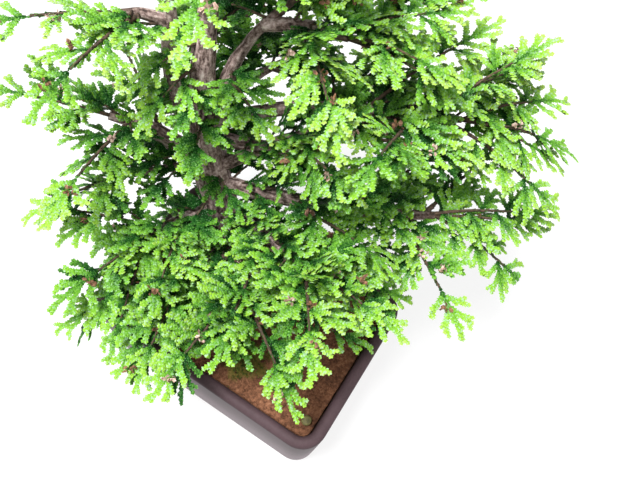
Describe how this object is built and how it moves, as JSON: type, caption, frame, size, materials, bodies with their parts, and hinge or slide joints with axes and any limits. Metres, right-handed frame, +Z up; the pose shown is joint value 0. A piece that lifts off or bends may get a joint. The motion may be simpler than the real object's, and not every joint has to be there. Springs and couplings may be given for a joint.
{
  "type": "hinoki cypress bonsai in a pot",
  "caption": "Miniature hinoki cypress with a flared trunk, layered limbs and flat fan-like sprays of scale leaves, rooted in soil in a low glazed rectangular pot on corner feet.",
  "frame": {"origin": "middle of the whole bonsai's box, at the surface that the pot stands on", "axes": "+Z up the tree, +X along the pot's long side, +Y to its back"},
  "size_m": [0.266, 0.246, 0.284],
  "materials": {
    "glazed_pot": "satin mauve-brown glaze on stoneware",
    "drain_screen": "black moulded plastic mesh",
    "soil": "granular bonsai soil with a patch of moss",
    "pebble_orange": "matt orange-tan pebble",
    "pebble_olive": "matt olive pebble",
    "pebble_tan": "matt tan pebble",
    "bark": "rough grey-brown bark",
    "foliage": "waxy green scale leaves, lime at the tips"
  },
  "bodies": {
    "root": {"drain_screen_left": "drain_screen", "drain_screen_right": "drain_screen", "pebble_olive": "pebble_olive", "pebble_orange": "pebble_orange", "pebble_tan": "pebble_tan", "pot": "glazed_pot", "soil": "soil", "spray_01_big_left": "foliage", "spray_02_big_left": "foliage", "spray_03_big_left": "foliage", "spray_04_thin_left": "foliage", "spray_05_front_left": "foliage", "spray_06_front_left": "foliage", "spray_07_front_left": "foliage", "spray_08_front": "foliage", "spray_09_front": "foliage", "spray_10_front": "foliage", "spray_11_front_right": "foliage", "spray_12_front_right": "foliage", "spray_13_front_right": "foliage", "spray_14_right_front": "foliage", "spray_15_right_front": "foliage", "spray_16_right_front": "foliage", "spray_17_right_front": "foliage", "spray_18_right_low": "foliage", "spray_19_right_low": "foliage", "spray_20_right_low": "foliage", "spray_21_right_low": "foliage", "spray_22_right_low": "foliage", "spray_23_right_back": "foliage", "spray_24_right_back": "foliage", "spray_25_right_back": "foliage", "spray_26_diagonal": "foliage", "spray_27_diagonal": "foliage", "spray_28_diagonal": "foliage", "spray_29_far_right": "foliage", "spray_30_far_right": "foliage", "spray_31_far_right": "foliage", "spray_32_far_right": "foliage", "spray_33_back": "foliage", "spray_34_back": "foliage", "spray_35_back": "foliage", "spray_36_back_left": "foliage", "spray_37_back_left": "foliage", "spray_38_upper_left": "foliage", "spray_39_upper_left": "foliage", "spray_40_upper_right": "foliage", "spray_41_upper_right": "foliage", "spray_42_upper_right": "foliage", "spray_43_upper_back": "foliage", "spray_44_high_right": "foliage", "spray_45_high_left": "foliage", "spray_46_high_front": "foliage", "spray_47_top_back": "foliage", "spray_48_trunk": "foliage", "spray_49_trunk": "foliage", "spray_50_left_stem": "foliage", "spray_51_right_stem": "foliage", "wood": "bark"}
  },
  "joints": []
}
